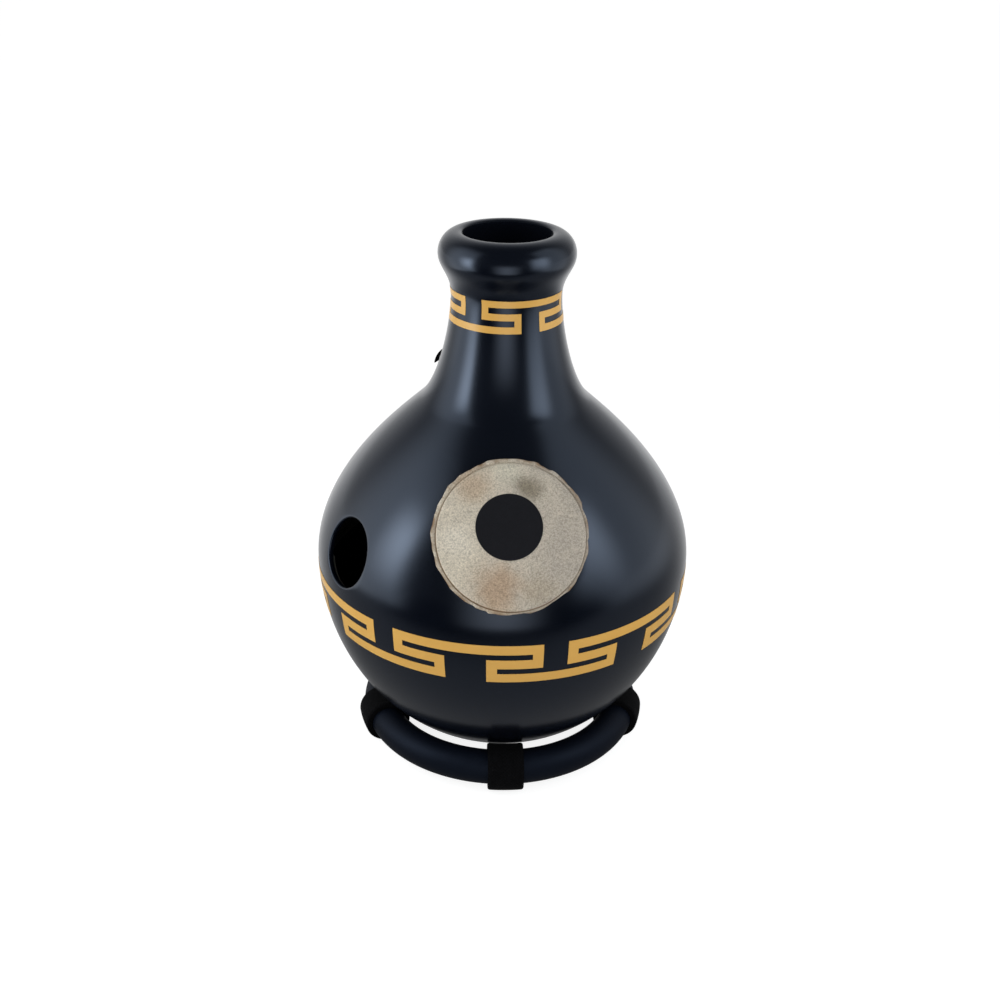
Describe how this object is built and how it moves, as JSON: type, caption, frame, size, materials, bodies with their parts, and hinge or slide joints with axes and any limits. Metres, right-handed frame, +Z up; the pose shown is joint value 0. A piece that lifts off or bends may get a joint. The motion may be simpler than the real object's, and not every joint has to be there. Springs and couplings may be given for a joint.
{
  "type": "udu drum",
  "caption": "Round-bellied black vessel drum with a long neck, side hole, small skin head and gold meander bands, standing loose in a padded ring.",
  "frame": {"origin": "on the floor, on the drum's upright axis, at the centre of the ring", "axes": "+Z up along the drum's axis, -Y to the front, where the head is, +X to the right seen from the front"},
  "size_m": [0.3183, 0.323, 0.451],
  "materials": {
    "lacquer": "satin black lacquer on glass fibre",
    "gold_paint": "matt gold-ochre paint",
    "goatskin": "mottled dry goatskin",
    "collar": "black resin",
    "glass_tape": "resin-wetted glass tape",
    "webbing": "black webbing",
    "rivet": "black",
    "ring_rubber": "satin black",
    "plug_wood": "plain dowel",
    "sleeve_fabric": "matt black woven wrap"
  },
  "bodies": {
    "stand": {"ring_tube": "ring_rubber", "ring_plug": "plug_wood", "sleeve_front": "sleeve_fabric", "sleeve_right": "sleeve_fabric", "sleeve_back_right": "sleeve_fabric", "sleeve_back_left": "sleeve_fabric", "sleeve_left": "sleeve_fabric"},
    "drum": {"lower_bowl": "lacquer", "upper_shell": "lacquer", "seam_tape": "glass_tape", "body_meander": "gold_paint", "neck_meander": "gold_paint", "head_collar": "collar", "head_skin": "goatskin", "hang_tab": "webbing", "tab_rivet": "rivet"}
  },
  "joints": [
    {"name": "drum_lift", "type": "slide", "parent": "stand", "child": "drum", "axis": [0, 0, 1], "range_m": [0, 0.2]}
  ]
}
